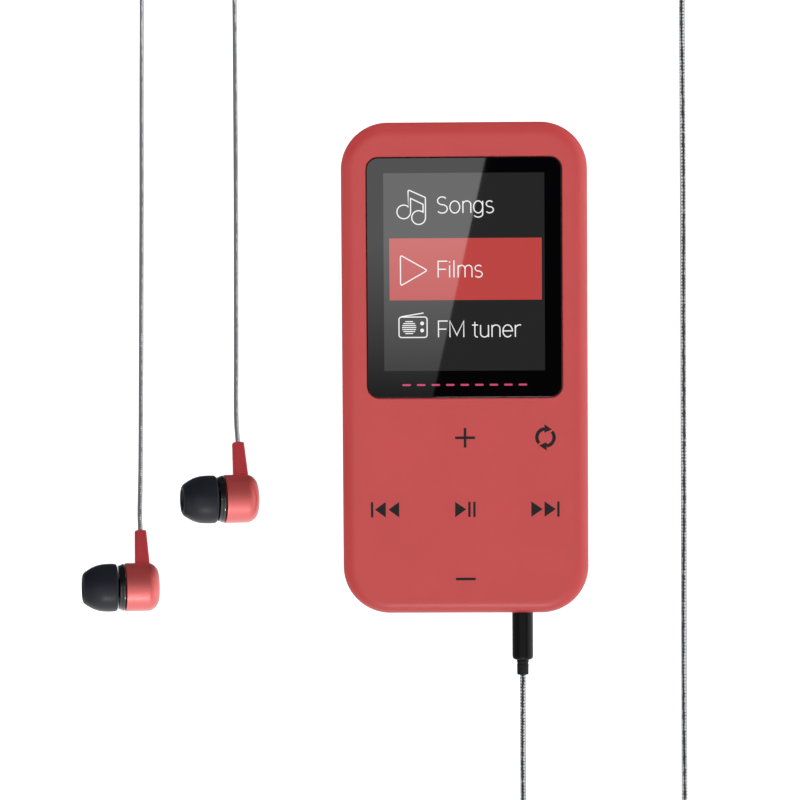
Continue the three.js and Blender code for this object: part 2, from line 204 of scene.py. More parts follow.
def mesh_object(name, points, faces, finish=None):
    """A new object in the scene."""
    mesh = bpy.data.meshes.new(name)
    mesh.from_pydata(points, [], faces)
    if finish:
        mesh.materials.append(finish)
    obj = bpy.data.objects.new(name, mesh)
    scene.collection.objects.link(obj)
    return obj


def face_outwards(mesh):
    work = bmesh.new()
    work.from_mesh(mesh)
    bmesh.ops.recalc_face_normals(work, faces=work.faces)
    work.to_mesh(mesh)
    work.free()


def modify(obj, kind, **settings):
    modifier = obj.modifiers.new(kind.lower(), kind)
    for key, value in settings.items():
        setattr(modifier, key, value)


def scratch(shape):
    """A temporary object at drawing scale, for cutting."""
    obj = mesh_object("scratch", *shape)
    face_outwards(obj.data)
    return obj


def carved(shape, joins=(), cuts=()):
    """The shape with others joined to it and then others cut out of it."""
    body = scratch(shape)
    tools = []
    for others, operation in ((joins, "UNION"), (cuts, "DIFFERENCE")):
        for other in others:
            tools.append(scratch(other))
            modify(body, "BOOLEAN", object=tools[-1], operation=operation, solver="EXACT")
    result = bmesh.new()
    result.from_object(body, bpy.context.evaluated_depsgraph_get())
    bmesh.ops.remove_doubles(result, verts=result.verts, dist=SEAM)
    bmesh.ops.dissolve_degenerate(result, edges=result.edges, dist=SEAM)
    bmesh.ops.holes_fill(result, edges=[edge for edge in result.edges if edge.is_boundary])
    result.verts.index_update()
    out = ([tuple(v.co) for v in result.verts], [[v.index for v in f.verts] for f in result.faces])
    result.free()
    for obj in [body, *tools]:
        bpy.data.objects.remove(obj)
    return out


def put(name, shape, finish, stands_for=None, body="player", crease=34, edge=0.0):
    """Makes a piece from a shape. Edges sharper than crease degrees stay crisp, or are bevelled."""
    points, faces = shape
    obj = mesh_object(name, [tuple(c * MM for c in point) for point in points], faces, finish)
    face_outwards(obj.data)
    obj.data.shade_smooth()
    obj.data.set_sharp_from_angle(angle=math.radians(crease))
    if edge:
        modify(obj, "BEVEL", width=edge * MM, segments=2, limit_method="ANGLE",
               angle_limit=math.radians(crease), harden_normals=False)
    modify(obj, "WEIGHTED_NORMAL", keep_sharp=True, weight=100)
    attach(obj, body)
    if stands_for:
        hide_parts(stands_for)
    return obj


# ---- finishes
def paint(code):
    """A colour written as RRGGBB, in linear light."""
    values = [int(code[k:k + 2], 16) / 255 for k in (0, 2, 4)]
    return [v / 12.92 if v <= 0.04045 else ((v + 0.055) / 1.055) ** 2.4 for v in values]


def blank(name, color):
    """A new material, with its node tree and its shader."""
    material = bpy.data.materials.new(name)
    material.use_nodes = True
    shader = material.node_tree.nodes["Principled BSDF"]
    shader.inputs["Base Color"].default_value = (*color, 1)
    material.diffuse_color = (*color, 1)
    return material, material.node_tree, shader


def feed(tree, made, inputs):
    """Sets a node's sockets, by name or number, to a value or to what another node's socket gives."""
    for socket, value in inputs.items():
        if isinstance(value, bpy.types.NodeSocket):
            tree.links.new(value, made.inputs[socket])
        else:
            made.inputs[socket].default_value = value


def node(tree, kind, inputs=None, **settings):
    made = tree.nodes.new("ShaderNode" + kind)
    for key, value in settings.items():
        setattr(made, key, value)
    feed(tree, made, inputs or {})
    return made


def reckoned(tree, operation, *numbers):
    """What a Math node makes of some numbers, or of other nodes' outputs."""
    return node(tree, "Math", dict(enumerate(numbers)), operation=operation).outputs[0]


def noise(tree, size, detail, stretch=(1, 1, 1)):
    """Noise whose features are about size millimetres, stretched along an axis if it is asked for."""
    place = node(tree, "TexCoord").outputs["Object"]
    if stretch != (1, 1, 1):
        place = node(tree, "Mapping", {"Scale": [1 / s for s in stretch], "Vector": place}).outputs[0]
    inputs = {"Scale": 1 / (size * MM), "Detail": detail, "Vector": place}
    return node(tree, "TexNoise", inputs).outputs["Fac"]


def waves(tree, scale, way, **more):
    """Even bands across one direction."""
    inputs = {"Scale": scale, "Vector": node(tree, "TexCoord").outputs["Object"], **more}
    return node(tree, "TexWave", inputs, bands_direction=way).outputs["Fac"]


def between(tree, source, low, high, start=0.3, end=0.7):
    """A number from low to high, as source goes from start to end."""
    return node(tree, "MapRange", {"Value": source, "From Min": start, "From Max": end,
                                   "To Min": low, "To Max": high}).outputs["Result"]


def tint(tree, source, *stops):
    """A colour picked along source, between two (place, linear colour) stops."""
    ramp = node(tree, "ValToRGB", {"Fac": source})
    for element, (place, color) in zip(ramp.color_ramp.elements, stops):
        element.position = place
        element.color = (*color, 1)
    return ramp.outputs["Color"]


def relief(tree, source, depth):
    """The direction of a surface that is raised where source is high, by depth millimetres."""
    return node(tree, "Bump", {"Distance": depth * MM, "Strength": 1.0, "Height": source}).outputs["Normal"]


def surface(name, color, roughness, grain=0.12, spread=0.06, polish=0.05, depth=0.0012,
            stretch=(1, 1, 1), blotch=6.0, **sockets):
    """A finish whose colour, polish and fine relief all vary from place to place."""
    color = paint(color)
    material, tree, shader = blank(name, color)
    dark, light = [[min(1, c * (1 + side * spread)) for c in color] for side in (-1, 1)]
    cloud = noise(tree, blotch, 3.0, stretch)
    fine = noise(tree, grain, 5.0, stretch)
    feed(tree, shader, {socket.replace("_", " "): value for socket, value in sockets.items()})
    feed(tree, shader, {"Base Color": tint(tree, cloud, (0.3, dark), (0.7, light)),
                        "Roughness": between(tree, fine, roughness - polish, roughness + polish),
                        "Normal": relief(tree, fine, depth)})
    return material


case_finish = surface("case_coral", "ae3333", 0.4, grain=0.09, spread=0.025, depth=0.0010, blotch=9)
bud_finish = surface("bud_satin", "d8423f", 0.36, grain=0.07, spread=0.03, depth=0.0008, blotch=3,
                     Metallic=0.75, Coat_Weight=1.0, Coat_IOR=2.05, Coat_Roughness=0.42)
stem_finish = surface("stem_satin", "9a1f27", 0.46, grain=0.08, spread=0.05, blotch=2,
                      Specular_IOR_Level=0.4)
glass_finish = surface("window_black", "020203", 0.012, grain=3, spread=0.1, polish=0.004, depth=0.0001,
                       blotch=12, IOR=1.5)
gloss_finish = surface("gloss_black", "0c0c0e", 0.16, grain=0.3, polish=0.05, depth=0.0008, blotch=2,
                       Coat_Weight=0.6, Coat_Roughness=0.06)
barrel_finish = surface("barrel_black", "060607", 0.1, grain=0.3, polish=0.03, depth=0.0006, blotch=2,
                        Specular_IOR_Level=0.2)
matte_finish = surface("matte_black", "0c0e10", 0.55, grain=0.08, polish=0.08, depth=0.003, blotch=1.5,
                       Specular_IOR_Level=0.25)
silicone_finish = surface("silicone", "11141c", 0.4, grain=0.25, polish=0.06, blotch=2,
                          Specular_IOR_Level=0.35)
mark_finish = surface("printed_marks", "0c0d0e", 0.5, grain=0.1, spread=0.1, depth=0.001, blotch=2,
                      Specular_IOR_Level=0.3)
steel_finish = surface("brushed_steel", "b9bbbf", 0.3, grain=0.1, polish=0.08, depth=0.001,
                       stretch=(12, 1, 1), Metallic=1.0)
screw_finish = surface("dark_screw", "6f7176", 0.34, grain=0.15, polish=0.1, depth=0.002, Metallic=1.0)
gold_finish = surface("gold_contact", "d9b35c", 0.22, grain=0.2, polish=0.06, depth=0.0006, Metallic=1.0)
port_finish = surface("port_plastic", "222224", 0.48, polish=0.07, depth=0.0015, blotch=1)
white_finish = surface("white_plastic", "e6e6e1", 0.5, grain=0.2, spread=0.03, depth=0.001)
board_finish = surface("circuit_board", "1c5a39", 0.4, grain=0.25, spread=0.22, polish=0.1, depth=0.004,
                       blotch=1.2)
film_finish = surface("flex_film", "b06f1e", 0.35, grain=0.15, spread=0.12, depth=0.002,
                      stretch=(1, 8, 1), blotch=1.0)
tape_finish = surface("dark_tape", "121213", 0.7, grain=0.1, spread=0.2, depth=0.004, blotch=1)
foil_finish = surface("cell_foil", "a8abb0", 0.36, grain=0.5, spread=0.05, polish=0.1, depth=0.02,
                      blotch=4, Metallic=0.7)
chip_finish = surface("chip_black", "1d1d20", 0.5, grain=0.06, spread=0.1, polish=0.08, depth=0.002,
                      blotch=1)
panel_finish = surface("panel_glass", "1c1d20", 0.12, grain=1, spread=0.1, polish=0.03, depth=0.0003)


def mesh_finish():
    """Fine woven wire: two sets of wires that cross, as relief and as shade."""
    material, tree, shader = blank("woven_wire", paint("8f9196"))
    woven = reckoned(tree, "MAXIMUM", waves(tree, 1600.0, "X"), waves(tree, 1600.0, "Y"))
    color = tint(tree, woven, (0.35, paint("101011")), (0.8, paint("a5a7ab")))
    feed(tree, shader, {"Metallic": 1.0, "Base Color": color, "Roughness": between(tree, woven, 0.6, 0.3),
                        "Normal": relief(tree, woven, 0.03)})
    return material


def braid_finish(name, columns, stripe_column, stripe_reach, dark, light, pale_stripe):
    """A braided sleeve: pale yarns with a dark stripe along it, or dark yarns with a pale stripe.

    The map on the cord counts yarn crossings along it and columns of crossings round it. The stripe
    reaches a little less than stripe_reach columns each way, as its edges zigzag with the yarns and
    it strays a little. dark and light are the dark and the pale yarns' colours, each from its dips to
    its crests; the darker dips are painted shade where the yarns pass under one another.
    """
    material, tree, shader = blank(name, paint("8b8b94"))
    reckon = partial(reckoned, tree)
    parts = node(tree, "SeparateXYZ", {0: node(tree, "UVMap", uv_map="braid").outputs[0]})
    along, around = parts.outputs[:2]
    cells, domes = [], []
    for lean in (0.5, -0.5):  # the yarns that wind one way, and those that wind the other
        centred = reckon("ADD", reckon("MULTIPLY_ADD", around, lean, along), 0.5)
        cells.append(reckon("FLOOR", centred))
        across = reckon("MULTIPLY_ADD", reckon("SUBTRACT", centred, cells[-1]), 2.0, -1.0)
        domes.append(reckon("MULTIPLY_ADD", reckon("MULTIPLY", across, across), -1.0, 1.0))
    over = reckon("FLOORED_MODULO", reckon("ADD", *cells), 2.0)
    dome = node(tree, "Mix", {0: over, 2: domes[0], 3: domes[1]}, data_type="FLOAT").outputs[0]
    fibre = noise(tree, 0.05, 3.0)
    height = reckon("MULTIPLY_ADD", fibre, 0.35, dome)  # fibres show a third as much as the yarn's round

    offset = reckon("FLOORED_MODULO", reckon("ADD", around, columns * 1.5 - stripe_column), columns)
    away = reckon("ABSOLUTE", reckon("SUBTRACT", offset, columns / 2))
    zigzag = reckon("MULTIPLY", reckon("PINGPONG", along, 0.5), 0.9)  # in columns
    stray = reckon("MULTIPLY_ADD", noise(tree, 0.8, 2.0), 1.6, -0.8)  # in columns, to either side
    striped = reckon("LESS_THAN", reckon("ADD", away, reckon("ADD", zigzag, stray)), stripe_reach)
    # each yarn's colour follows its height: darker towards its dips, as painted shade between the yarns
    yarns = [tint(tree, height, *[(place, paint(code)) for place, code in stops])
             for stops in ((dark, light) if pale_stripe else (light, dark))]
    color = node(tree, "Mix", {0: striped, 6: yarns[0], 7: yarns[1]}, data_type="RGBA").outputs[2]
    feed(tree, shader, {"Base Color": color, "Roughness": between(tree, fibre, 0.6, 0.85),
                        "Specular IOR Level": 0.25, "Normal": relief(tree, height, 0.04)})
    return material


def lit_finish(name, code, strength, gloss=1.5):
    """A lit part of the display, behind glass, with its fine grid of pixels."""
    material, tree, shader = blank(name, (0, 0, 0))
    pixels = reckoned(tree, "MINIMUM", waves(tree, 900.0, "X"), waves(tree, 900.0, "Y"))
    color = paint(code)
    lit = tint(tree, pixels, (0.0, [c * 0.94 for c in color]), (0.4, color))
    feed(tree, shader, {"Roughness": 0.012, "IOR": gloss, "Emission Strength": strength,
                        "Emission Color": lit})
    return material


def strap_finish():
    """A woven strap: ribs across it, over soft fuzz."""
    material, tree, shader = blank("woven_strap", paint("1d1d20"))
    fuzz = noise(tree, 0.08, 5.0)
    cloth = reckoned(tree, "MULTIPLY", waves(tree, 1100.0, "DIAGONAL", Distortion=1.5, Detail=2.0), fuzz)
    color = tint(tree, cloth, (0.0, paint("0d0d0f")), (0.6, paint("3a3a40")))
    feed(tree, shader, {"Base Color": color, "Roughness": between(tree, fuzz, 0.7, 0.95),
                        "Normal": relief(tree, cloth, 0.06)})
    return material


MAIN_COLUMNS, BRANCH_COLUMNS = 8, 6  # columns of yarn crossings round a cord
# each yarn's stops run from its dips, darkened as painted shade, to its crests
main_braid = braid_finish("braid_pale", MAIN_COLUMNS, 0, 0.72, [(0.1, "050507"), (1.0, "303134")],
                          [(0.35, "3c3d40"), (0.95, "c0c1c4")], pale_stripe=False)
branch_braid = braid_finish("braid_dark", BRANCH_COLUMNS, 5.15, 0.95, [(0.1, "050507"), (1.0, "6b6c70")],
                            [(0.35, "0e0f10"), (0.95, "cccdd0")], pale_stripe=True)
wire_mesh = mesh_finish()
strap = strap_finish()

# ---- camera
AIM = Vector((-0.01142, -0.00541, 0.009))
EYE = Vector((0.00909, 0.03754, 0.70738))
TURNS = (("X", -3.52), ("Y", 1.68), ("Z", -0.27))  # in degrees, from straight down
SEEN_WIDTH = 0.14103  # what the frame takes in at the aim point's distance


def make_camera():
    data = bpy.data.cameras.new("camera")
    data.lens = data.sensor_width * (EYE - AIM).length / SEEN_WIDTH
    camera = bpy.data.objects.new("camera", data)
    camera.matrix_world = Matrix.Translation(EYE)
    for axis, angle in TURNS:
        camera.matrix_world = camera.matrix_world @ Matrix.Rotation(math.radians(angle), 4, axis)
    scene.collection.objects.link(camera)
    scene.camera = camera


make_camera()

# ---- cords
MAIN_RADIUS, BRANCH_RADIUS = 0.000575, 0.00044
COIL_LIFT = 0.00075  # the tie's strap passes under each coil

# Each coil is wound outside in on its lower layer and back out on its upper one.
# turns are how many each layer has, and start is the angle where the cord comes in, in degrees.
coils = {
    "main": dict(x=0.02037, y=-0.0902, outer=0.01037, inner=0.00335, turns=(6, 6.25), start=180),
    "left": dict(x=-0.05024, y=0.07716, outer=0.00684, inner=0.00324, turns=(4, 4.25), start=90),
    "right": dict(x=-0.03345, y=0.0742, outer=0.00713, inner=0.00307, turns=(4.5, 4.75), start=90),
}

# The stretches before and after each coil, each from its end nearer the plug.
routes = {
    "main": (
        [(0.01, -0.0536, 0.0045), (0.01, -0.05475, 0.0045), (0.01, -0.0575, 0.0044),
         (0.01, -0.061, 0.0038), (0.01, -0.065, 0.0025), (0.01, -0.069, 0.0012),
         (0.01, -0.073, 0.00065), (0.01, -0.0775, 0.0006), (0.01, -0.081, 0.00066),
         (0.01, -0.0843, 0.00085)],
        [(0.0262, -0.10057, 0.00205), (0.0295, -0.1001, 0.0012), (0.033, -0.0984, 0.0007),
         (0.0363, -0.095, 0.0006), (0.0382, -0.0905, 0.0006), (0.03885, -0.085, 0.0006),
         (0.03886, -0.078, 0.0006), (0.03884, -0.05, 0.0006), (0.03882, -0.02, 0.0006),
         (0.0388, 0.01, 0.0006), (0.03875, 0.04, 0.0006), (0.0387, 0.062, 0.0006),
         (0.0386, 0.07, 0.0006), (0.0369, 0.0766, 0.0006), (0.0324, 0.0816, 0.0006),
         (0.026, 0.0838, 0.0006), (0.015, 0.084, 0.0006), (0.005, 0.084, 0.0006),
         (-0.002, 0.084, 0.00085), (-0.00665, 0.084, 0.0013), (-0.0078, 0.084, 0.0013)]),
    "left": (
        [(-0.0166, 0.08475, 0.0013), (-0.01765, 0.08475, 0.0013), (-0.022, 0.0846, 0.00075),
         (-0.027, 0.0843, 0.0005), (-0.035, 0.084, 0.0005), (-0.042, 0.084, 0.0007),
         (-0.0459, 0.084, 0.00095)],
        [(-0.05708, 0.0729, 0.0015), (-0.05708, 0.0695, 0.0007), (-0.05708, 0.0655, 0.00047),
         (-0.0573, 0.048, 0.00047), (-0.0575, 0.03, 0.00047), (-0.05775, 0.012, 0.00047),
         (-0.058, -0.0057, 0.00047), (-0.0582, -0.018, 0.00047), (-0.05835, -0.0233, 0.00052),
         (-0.0584, -0.0262, 0.0008), (-0.05828, -0.02883, 0.00143), (-0.05824, -0.0297, 0.00169)]),
    "right": (
        [(-0.0166, 0.08325, 0.0013), (-0.01765, 0.08325, 0.0013), (-0.021, 0.0826, 0.0008),
         (-0.025, 0.0816, 0.0006), (-0.029, 0.08133, 0.00095)],
        [(-0.04058, 0.0699, 0.0015), (-0.04058, 0.0665, 0.00075), (-0.04058, 0.0625, 0.00047),
         (-0.04062, 0.046, 0.00047), (-0.04067, 0.03, 0.00047), (-0.04078, 0.015, 0.00047),
         (-0.0409, 0.0, 0.00047), (-0.04097, -0.006, 0.0005), (-0.0409, -0.0102, 0.00083),
         (-0.04066, -0.0131, 0.00149), (-0.0406, -0.01395, 0.00174)]),
}


def coil_points(coil, radius):
    """The centreline of a coil: in along the lower layer, up, and out along the upper one."""
    inward, outward = coil["turns"]
    per_turn = 24
    climb = 0.3  # turns over which the cord climbs to the upper layer
    points = []
    for k in range(int((inward + outward) * per_turn) + 1):
        turn = k / per_turn
        share = turn / inward if turn < inward else 1 - (turn - inward) / outward
        reach = coil["outer"] + (coil["inner"] - coil["outer"]) * share
        up = min(1, max(0, (turn - inward) / climb + 0.5))
        up = up * up * (3 - 2 * up)
        angle = math.radians(coil["start"]) + TAU * turn
        points.append((coil["x"] + reach * math.cos(angle), coil["y"] + reach * math.sin(angle),
                       COIL_LIFT + radius * (1 + 2 * up)))
    return points


def run_along(line):
    """How far along a line each of its points is."""
    return np.concatenate([[0], np.cumsum(np.linalg.norm(np.diff(line, axis=0), axis=1))])


def smooth_line(points, step):
    """Points a fixed step apart on a centripetal spline through the given ones."""
    points = np.array(points)
    padded = np.vstack([2 * points[0] - points[1], points, 2 * points[-1] - points[-2]])
    fine = [points[0]]

    def mix(first, last, start, end, t):
        return (first * (end - t) + last * (t - start)) / (end - start)

    for four in zip(padded, padded[1:], padded[2:], padded[3:]):
        spans = np.linalg.norm(np.diff(four, axis=0), axis=1)
        knots = np.concatenate([[0], np.cumsum(spans ** 0.5)])
        for t in np.linspace(knots[1], knots[2], max(4, int(spans[1] / step * 2)) + 1)[1:]:
            three = [mix(*pair, t) for pair in zip(four, four[1:], knots, knots[1:])]
            two = [mix(*pair, t) for pair in zip(three, three[1:], knots, knots[2:])]
            fine.append(mix(*two, knots[1], knots[2], t))
    fine = np.array(fine)
    run = run_along(fine)
    places = np.linspace(0, run[-1], int(run[-1] / step) + 1)
    return np.stack([np.interp(places, run, fine[:, axis]) for axis in range(3)], axis=1)


def braided_tube(name, line, radius, columns, sides, pitch, finish):
    """A tube along a line, knobbed where its yarns cross, with a map that counts the crossings."""
    tangents = np.gradient(line, axis=0)
    tangents /= np.linalg.norm(tangents, axis=1)[:, None]
    up = np.array([0.0, 0.0, 1.0])
    ups = []
    for tangent in tangents:
        up = up - tangent * up.dot(tangent)
        up /= np.linalg.norm(up)
        ups.append(up)
    ups = np.array(ups)
    rights = np.cross(tangents, ups)
    run = run_along(line)
    wander = 0.25 * np.sin(run / 0.021) + 0.15 * np.sin(run / 0.0093)  # radians the sleeve has turned
    around = TAU * np.arange(sides) / sides
    column = around * columns / TAU
    knob = np.cos(math.pi * np.arange(len(line)))[:, None] * np.cos(math.pi * column)[None, :]
    reach = radius * (0.965 + 0.035 * knob)
    angle = around[None, :] + wander[:, None]
    rings = (line[:, None, :] + (reach * np.cos(angle))[..., None] * ups[:, None, :]
             + (reach * np.sin(angle))[..., None] * rights[:, None, :])
    cord = mesh_object(name, *loft(rings.tolist()), finish)
    u = np.repeat(run[:-1] / pitch, sides)
    u_next = np.repeat(run[1:] / pitch, sides)
    v = np.tile(column, len(line) - 1)
    v_next = v + columns / sides
    corners = np.stack([u, v, u, v_next, u_next, v_next, u_next, v], axis=1).ravel()
    ends = np.zeros(4 * sides)  # the two end caps take no part in the map
    cord.data.uv_layers.new(name="braid").data.foreach_set("uv", np.concatenate([corners, ends]))
    face_outwards(cord.data)
    cord.data.shade_smooth()
    return cord


# Each cord's radius, columns of crossings, tube sides, pitch of its braid, finish and CAD solids.
branch = dict(radius=BRANCH_RADIUS, columns=BRANCH_COLUMNS, sides=18, pitch=0.0004, finish=branch_braid)
cords = {
    "main": dict(radius=MAIN_RADIUS, columns=MAIN_COLUMNS, sides=16, pitch=0.00057, finish=main_braid,
                 parts=("plug_end", "coil", "run")),
    "left": dict(branch, parts=("start", "coil", "run")),
    "right": dict(branch, parts=("start", "coil", "run")),
}
cord_pieces, cord_lines = {}, {}


def make_cord(side, radius, columns, sides, pitch, finish, parts):
    """The whole of one cord, and its centreline. Its rings are half a braid pitch apart."""
    before, after = routes[side]
    line = smooth_line(before + coil_points(coils[side], radius) + after, pitch / 2)
    cord = braided_tube(f"{side}_cord", line, radius, columns, sides, pitch, finish)
    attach(cord, "earphones")
    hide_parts(*[f"{side}_cord_{part}" for part in parts])
    return cord, line


for side, facts in cords.items():
    cord_pieces[side], cord_lines[side] = make_cord(side, **facts)

# ---- the case
case_low, case_high = mm_box("front_shell")
_, cover_high = mm_box("rear_cover")
BODY_WIDTH, BODY_LENGTH = case_high.x - case_low.x, case_high.y - case_low.y
FACE, PARTING_TOP, PARTING_LOW = case_high.z, case_low.z, cover_high.z
CORNER, EDGE, WALL = 8.3, 2.4, 1.4  # radii of the corners and of the face's edge, and the wall
GAP = 0.1  # left round whatever fits in an opening
FLOOR, CEILING, LEDGE, SCREW_HOLE_END, SCREW_SEAT = 1.2, 7.2, 8.02, 6.6, 1.3  # heights in the case
BREAK = 0.14  # how much the edges of openings are broken
FACE_INSET = EDGE + 0.25  # how far in from the sides the flat of the face starts
SCREW_BORE, SCREW_HEAD = 0.9, 1.6  # radii
OVERLAP = 0.3  # how far a joined shape reaches into the one that it joins
pane_low, pane_high = mm_box("screen_window")
PANE_Y = (pane_low.y + pane_high.y) / 2
PANE_SIZE = (pane_high.x - pane_low.x, pane_high.y - pane_low.y, 2.1)  # width, length, corner radius
VIEW = (29.4, 36.2, 0.8, 17.2)  # the opening under the pane: width, length, corner radius and y
BOSS_X, BOSS_Y, BOSS_RADIUS, PAD_RADIUS = 16.6, 38.3, 1.75, 2.3
boss_places = [(sx * BOSS_X, sy * BOSS_Y) for sx in (1, -1) for sy in (1, -1)]
PORT_Z = 4.5  # height of the sockets in the bottom edge
JACK_X, NOSE_RADIUS, BORE_RADIUS = 10, 2.5, 1.85
USB_X, USB_WIDTH, USB_HEIGHT = -10, 7.5, 2.6
SOUND_HOLE = (0.4, 5.5)  # radius and height
CARD_Y, CARD_Z, CARD_MOUTH, CARD_MOUTH_HEIGHT = -22, 3.5, 12.4, 1.3
POWER_Y, POWER_Z, POWER_SLOT, POWER_SLOT_HEIGHT = 22, 3.9, 7.2, 2.3


def case_block(sizes):
    """A block with the case's outline. sizes are (how far in its sides are, height) pairs."""
    return stack(BODY_WIDTH, BODY_LENGTH, CORNER, sizes, steps=24)


def edge_steps():
    """How far in and how far up the case's rounded edge goes, from its side to its face."""
    steps = 14
    angles = [k / steps * math.pi / 2 for k in range(steps + 1)]
    return [(EDGE * (1 - math.cos(a)), EDGE * math.sin(a)) for a in angles]


def hollow(low, high):
    return stack(BODY_WIDTH, BODY_LENGTH, CORNER, [(WALL, low), (WALL, high)], steps=12)


def flared(width, length, corner, depth):
    """A cutter drawn down Z from the surface at 0, which also breaks the edge of its hole."""
    return stack(width, length, corner, [(0, -depth), (0, -BREAK), (-BREAK, 0), (-BREAK - 1, 1)])


def round_flared(radius, depth, flare=BREAK, overrun=1.0, segments=40):
    """The same kind of cutter, for a round hole."""
    profile = [(0, -depth), (radius, -depth), (radius, -flare), (radius + flare, 0),
               (radius + flare + overrun, overrun), (0, overrun)]
    return turned(profile, segments)


def at_bosses(shape):
    """A copy of a shape at each of the four screws."""
    return [placed(shape, x, y) for x, y in boss_places]


def rod(radius, low, high, segments=32):
    return turned([(0, low), (radius, low), (radius, high), (0, high)], segments)


def from_bottom(shape, x, z):
    """A cutter drawn down Z, turned to go in at the player's bottom edge."""
    return placed(shape, x, -BODY_LENGTH / 2, z, 90, "X")


def from_side(shape, side, y, z):
    """A cutter drawn down Z with its length along Y, turned to go in at the right (1) or left (-1)."""
    return placed(shape, side * BODY_WIDTH / 2, y, z, side * 90, "Y")


nose_hole = from_bottom(round_flared(NOSE_RADIUS + GAP, 3), JACK_X, PORT_Z)


def make_front_shell():
    wall_end = FACE - EDGE
    sizes = [(BREAK, PARTING_TOP), (0, PARTING_TOP + BREAK), (0, wall_end)]
    sizes += [(inset, wall_end + up) for inset, up in edge_steps()[1:]] + [(FACE_INSET, FACE)]
    pocket = flared(PANE_SIZE[0] + 2 * GAP, PANE_SIZE[1] + 2 * GAP, PANE_SIZE[2] + GAP, FACE - LEDGE)
    width, length, corner, view_y = VIEW
    window = tablet(width, length, corner, 6, FACE, y=view_y, steps=4)
    cuts = [
        placed(pocket, 0, PANE_Y, FACE), window, nose_hole,
        from_bottom(flared(USB_WIDTH + 0.5, USB_HEIGHT + 0.5, 0.9, 3), USB_X, PORT_Z),
        from_bottom(round_flared(SOUND_HOLE[0], 3, flare=0.1, segments=24), 0, SOUND_HOLE[1]),
        from_side(flared(CARD_MOUTH_HEIGHT, CARD_MOUTH, 0.3, 2), -1, CARD_Y, CARD_Z),
        from_side(flared(POWER_SLOT_HEIGHT, POWER_SLOT, 0.6, 2), 1, POWER_Y, POWER_Z),
        *at_bosses(rod(SCREW_BORE, 1, SCREW_HOLE_END)),
    ]
    bosses = at_bosses(rod(BOSS_RADIUS, PARTING_TOP + 0.01, CEILING + OVERLAP))
    hollowed = carved(case_block(sizes), cuts=[hollow(1, CEILING)])
    put("front_case", carved(hollowed, bosses, cuts), case_finish, "front_shell", crease=30)


def make_rear_cover():
    sizes = [(FACE_INSET, 0)] + [(inset, EDGE - up) for inset, up in reversed(edge_steps())][:-1]
    sizes = [(inset, z) for inset, z in sizes if z < PARTING_LOW - BREAK]
    sizes += [(0, PARTING_LOW - BREAK), (BREAK, PARTING_LOW)]
    pads = at_bosses(rod(PAD_RADIUS, FLOOR - 0.1, PARTING_LOW - 0.01))
    recess = placed(round_flared(SCREW_HEAD, SCREW_SEAT, overrun=0.4), degrees=180, axis="X")
    cuts = at_bosses(recess) + at_bosses(rod(SCREW_BORE, 0.5, 4)) + [nose_hole]
    hollowed = carved(case_block(sizes), cuts=[hollow(FLOOR, 5)])
    put("rear_case", carved(hollowed, pads, cuts), case_finish, "rear_cover", crease=30)


def thread(radius, depth, low, high, pitch):
    """A screw thread: a rod whose surface rises and falls as it turns."""
    segments = 20
    rows = int((high - low) / pitch * 5)  # five to a turn
    loops = []
    for row in range(rows + 1):
        z = low + (high - low) * row / rows
        fade = min(1, (high - z) / pitch, (z - low) / pitch)
        loop = []
        for k in range(segments):
            phase = (z / pitch - k / segments) % 1
            reach = radius - depth * fade * (1 - abs(2 * phase - 1))
            loop.append((reach * math.cos(TAU * k / segments), reach * math.sin(TAU * k / segments), z))
        loops.append(loop)
    return loft(loops)


def make_screws():
    """Case screws seen from the back: a low domed head with a cross recess, and a threaded shank."""
    for k in range(1, 5):
        low, high = mm_box(f"case_screw_{k}")
        x, y = (low.x + high.x) / 2, (low.y + high.y) / 2
        head_top = low.z + 0.9
        dome = [(0.0, low.z), (0.7, low.z + 0.02), (1.15, low.z + 0.1), (1.4, low.z + 0.24),
                (1.5, low.z + 0.42), (1.5, head_top - 0.05), (1.45, head_top), (0, head_top)]
        slot = loft([round_rectangle(length, width, 0.05, z, steps=2)
                     for length, width, z in ((1.9, 0.42, low.z - 0.1), (0.9, 0.24, low.z + 0.62))])
        turn = math.degrees(0.3 * k)  # each screw stopped at an angle of its own
        head = carved(turned(dome, 40), cuts=[placed(slot, degrees=turn + more) for more in (0, 90)])
        shape = merged(head, thread(0.8, 0.16, head_top, high.z, 0.45))
        put(f"case_screw_fine_{k}", placed(shape, x, y), screw_finish, f"case_screw_{k}",
            crease=28)


make_front_shell()
make_rear_cover()
make_screws()

# ---- the screen
LAYER = 0.006  # thickness of each layer of the picture, over the one below
PICTURE = (28.3, 34.8, 17.1, 0, 0.1)  # the lit picture's width, height, y, x and corner radius
BAR = (26.8, 10.9, 17.6, 0.25, 0.05)  # the same of the chosen row
STROKE = 0.2  # weight of the thin white lines
TEXT_X, CAP = -4.85, 2.85  # where the words start, and the height of a capital
WIDEN = 1.22  # how wide the letters are drawn
rows_y = {"Songs": 27.45, "Films": 16.15, "FM tuner": 5.62}  # each row's word and its baseline


def picture_layer(number):
    low = pane_high.z + LAYER * (number - 1) + 0.001
    return low, low + LAYER


X_HEIGHT = 0.74  # of a small letter, where a capital is 1 high


def bowl(width=0.5):
    return arc(width / 2 + 0.03, X_HEIGHT / 2, width / 2, X_HEIGHT / 2, 0, 360, 24)


def hump(x, width=0.4):
    """The arch and right leg of an n that starts at x."""
    return arc(x + width / 2, X_HEIGHT - 0.22, width / 2, 0.22, 180, 0, 10) + [(x + width, 0)]


leg = [(0.07, X_HEIGHT), (0.07, 0)]

